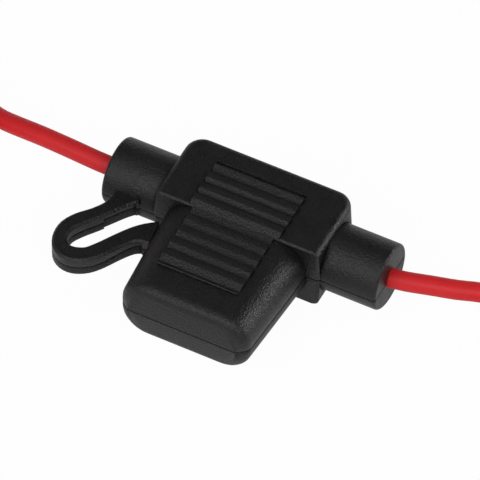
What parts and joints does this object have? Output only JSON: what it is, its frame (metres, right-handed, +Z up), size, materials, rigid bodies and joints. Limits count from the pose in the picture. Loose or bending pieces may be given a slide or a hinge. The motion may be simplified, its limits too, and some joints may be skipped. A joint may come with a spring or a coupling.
{
  "type": "inline blade fuse holder",
  "caption": "Splash-proof inline holder for a mini blade fuse: ribbed black block with a sleeve and red lead at each end, and a tethered push-on cap.",
  "frame": {"origin": "on the underside, on the flat crest of a grip rib, straight below the middle of the leads' common axis", "axes": "+X along the right lead's sleeve, +Y from the cap towards the back of the block, +Z up through the ribbed faces"},
  "size_m": [0.16, 0.0365, 0.0129],
  "materials": {
    "black_plastic": "fine moulded texture, satin",
    "red_insulation": "smooth soft gloss",
    "tinned_copper": "tinned strands",
    "terminal_brass": "bright stamped sheet",
    "fuse_zinc": "stamped zinc, satin",
    "fuse_housing": "tinted clear moulding",
    "tie": "soft plastic"
  },
  "bodies": {
    "holder": {"holder_body": "black_plastic", "tether": "black_plastic", "fuse_housing": "fuse_housing", "fuse_element": "fuse_zinc", "terminal_left": "terminal_brass", "terminal_right": "terminal_brass", "conductor_left": "tinned_copper", "conductor_right": "tinned_copper", "insulation_left": "red_insulation", "insulation_right": "red_insulation", "lead_left": "red_insulation", "lead_right": "red_insulation", "lead_coil_left": "red_insulation", "lead_coil_right": "red_insulation", "bare_end_left": "tinned_copper", "bare_end_right": "tinned_copper", "coil_tie_left": "tie", "coil_tie_right": "tie"},
    "cap": {"cap": "black_plastic"}
  },
  "joints": [
    {"name": "cap_pull", "type": "slide", "parent": "holder", "child": "cap", "axis": [0, -1, 0], "range_m": [0, 0.018], "deforming": ["tether"]}
  ]
}
